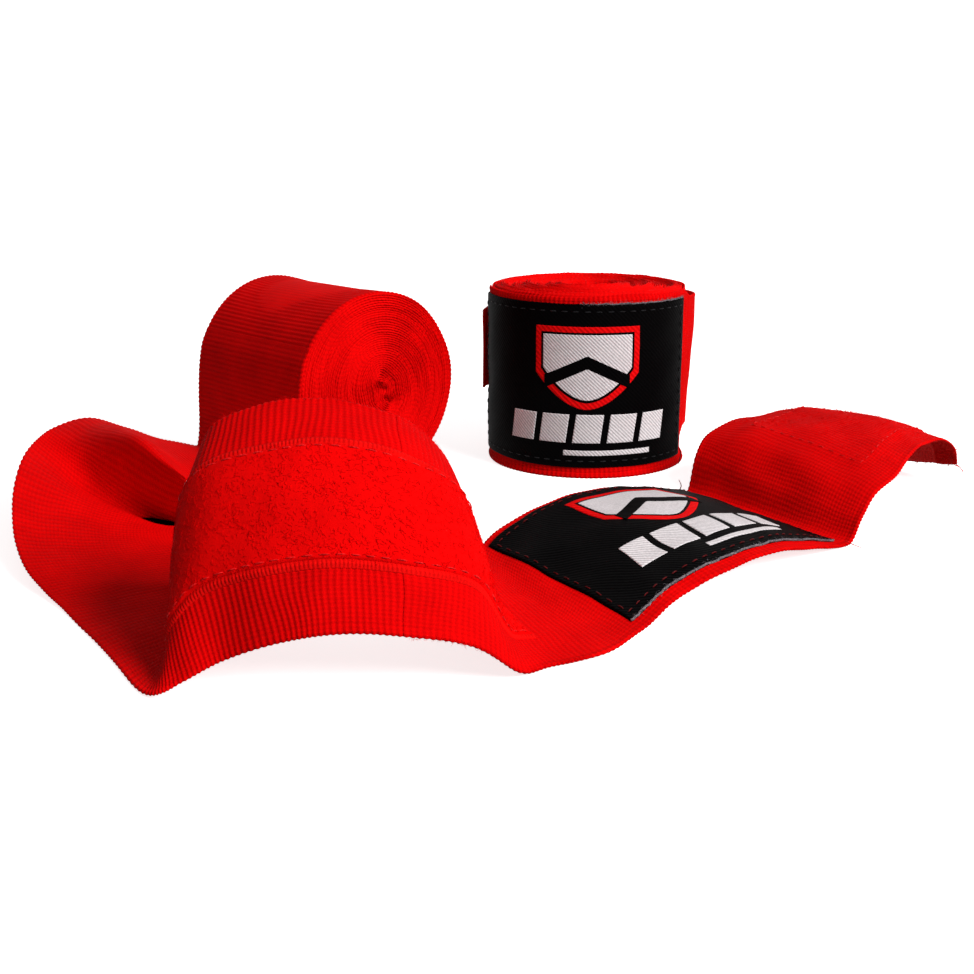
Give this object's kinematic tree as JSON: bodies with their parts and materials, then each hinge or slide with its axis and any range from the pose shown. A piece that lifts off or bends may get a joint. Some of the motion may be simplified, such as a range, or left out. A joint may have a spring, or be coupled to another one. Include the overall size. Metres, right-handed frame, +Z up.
{
  "type": "hand wrap",
  "caption": "Pair of red elastic boxing hand wraps with hook-and-loop closures and woven labels, one laid out partly unrolled and one rolled and closed.",
  "frame": {"origin": "middle of the pair, on the surface it rests on", "axes": "+Z up, +X along the front of the pair towards the hook end, +Y towards the two rolls"},
  "size_m": [0.2405, 0.2029, 0.052],
  "materials": {
    "strip_weave": "ribbed elastic weave, matt",
    "tape": "flat woven tape, matt",
    "loop_pile": "brushed loop pile",
    "binding": "fine ribbed binding",
    "label_cloth": "dense satin weave",
    "black_thread": "twisted thread",
    "red_thread": "twisted thread",
    "emblem_thread": "woven white thread, soft sheen",
    "hook_pile": "fine nylon hooks"
  },
  "bodies": {
    "open_wrap": {"open_strip_lead": "strip_weave", "open_strip_arch": "strip_weave", "open_loop_panel": "loop_pile", "open_loop_binding": "binding", "open_loop_stitching": "red_thread"},
    "open_roll": {"open_roll_strip": "strip_weave", "open_thumb_loop": "tape", "open_thumb_bartack": "red_thread"},
    "label_span": {"open_strip_label_span": "strip_weave", "open_label": "label_cloth", "open_label_stitching": "black_thread", "open_label_emblem": "emblem_thread"},
    "hook_end": {"open_strip_hook_end": "strip_weave", "open_hook_patch": "hook_pile", "open_hook_stitching": "red_thread"},
    "closed_roll": {"closed_roll_strip": "strip_weave", "closed_thumb_loop": "tape", "closed_thumb_bartack": "red_thread", "closed_loop_panel": "loop_pile", "closed_loop_binding": "binding", "closed_label_lap": "strip_weave", "closed_label": "label_cloth", "closed_label_stitching": "black_thread", "closed_label_emblem": "emblem_thread"},
    "closure_tab": {"closed_hook_end": "strip_weave", "closed_hook_patch": "hook_pile", "closed_hook_stitching": "red_thread"}
  },
  "joints": [
    {"name": "roll_turn", "type": "hinge", "parent": "open_wrap", "child": "open_roll", "pos_m": [-0.036, 0.041, 0.0265], "axis": [-0.6691, 0.7431, 0], "continuous": true},
    {"name": "label_span_lift", "type": "hinge", "parent": "open_wrap", "child": "label_span", "pos_m": [0.0025, -0.063, 0.00285], "axis": [0.5145, -0.8502, -0.1118], "range_deg": [0, 60]},
    {"name": "hook_end_lift", "type": "hinge", "parent": "label_span", "child": "hook_end", "pos_m": [0.0615, 0.0065, 0.00035], "axis": [0.5673, -0.8235, 0], "range_deg": [0, 80]},
    {"name": "closed_roll_lift", "type": "slide", "parent": "open_wrap", "child": "closed_roll", "axis": [0, 0, 1], "range_m": [0, 0.12]},
    {"name": "closure_peel", "type": "hinge", "parent": "closed_roll", "child": "closure_tab", "pos_m": [0.0507, 0.072, 0.029], "axis": [0, 0, -1], "range_deg": [0, 90]}
  ]
}
